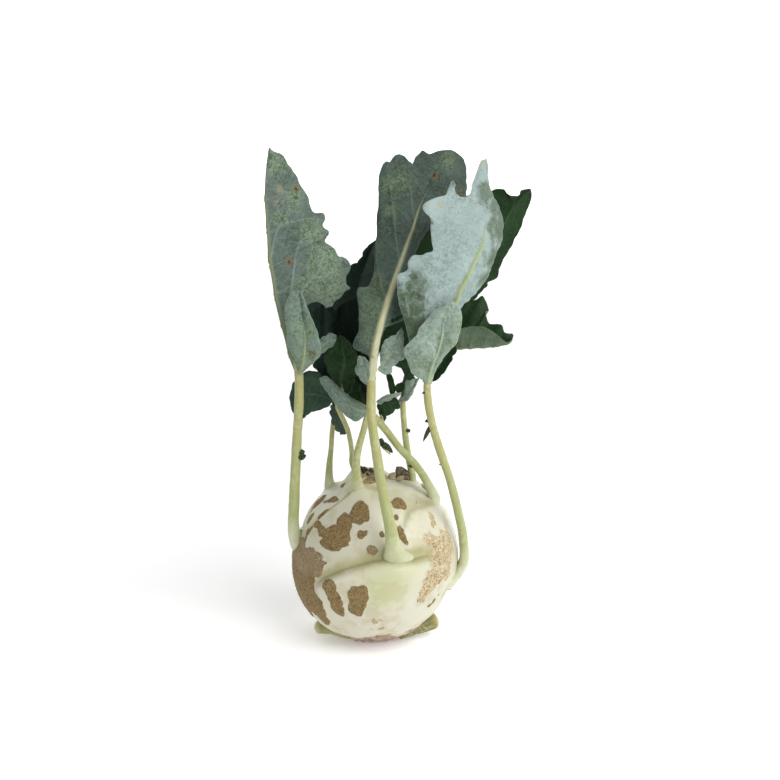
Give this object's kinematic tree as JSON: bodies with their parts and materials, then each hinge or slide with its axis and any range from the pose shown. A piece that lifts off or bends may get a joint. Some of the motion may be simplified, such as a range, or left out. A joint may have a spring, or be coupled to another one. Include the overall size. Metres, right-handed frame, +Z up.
{
  "type": "kohlrabi",
  "caption": "Round pale kohlrabi bulb on a flat cut base, with leaf stalks rising from its sides and crown to upright lobed blue-green leaves.",
  "frame": {"origin": "middle of the flat cut face that the bulb stands on", "axes": "+Z up through the bulb and the leaves, -Y towards the front leaf, +X to the right"},
  "size_m": [0.1434, 0.1023, 0.2682],
  "materials": {
    "bulb_skin": "smooth waxy pale green skin with tan corky patches",
    "stalk": "smooth waxy yellow-green",
    "leaf": "blue-green leaf with a dull waxy bloom, darker and glossier on the upper face",
    "dry_scale": "withered brown leaf scraps"
  },
  "bodies": {
    "root": {"bulb": "bulb_skin", "crown_bud": "dry_scale", "dry_leaf_base": "dry_scale", "cut_stub_left": "stalk", "cut_stub_right": "stalk", "stalk_left": "stalk", "stalk_front": "stalk", "stalk_right": "stalk", "stalk_back_left": "stalk", "stalk_crown_left": "stalk", "stalk_crown_front": "stalk", "stalk_shoulder_right": "stalk", "stalk_back_right": "stalk", "blade_left": "leaf", "lobe_left_large": "leaf", "lobe_left_small": "leaf", "blade_front": "leaf", "lobe_front_right": "leaf", "lobe_front_left": "leaf", "blade_right": "leaf", "lobe_right": "leaf", "blade_back_left": "leaf", "lobe_back_left_hanging": "leaf", "blade_crown_left": "leaf", "lobe_crown_left_spreading": "leaf", "blade_crown_front": "leaf", "lobe_crown_front_rolled": "leaf", "blade_shoulder_right": "leaf", "blade_back_right": "leaf", "lobe_back_right_folded": "leaf", "lobe_back_right_low": "leaf", "lobe_back_right_curled": "leaf", "lobe_back_right_drooping": "leaf"}
  },
  "joints": []
}
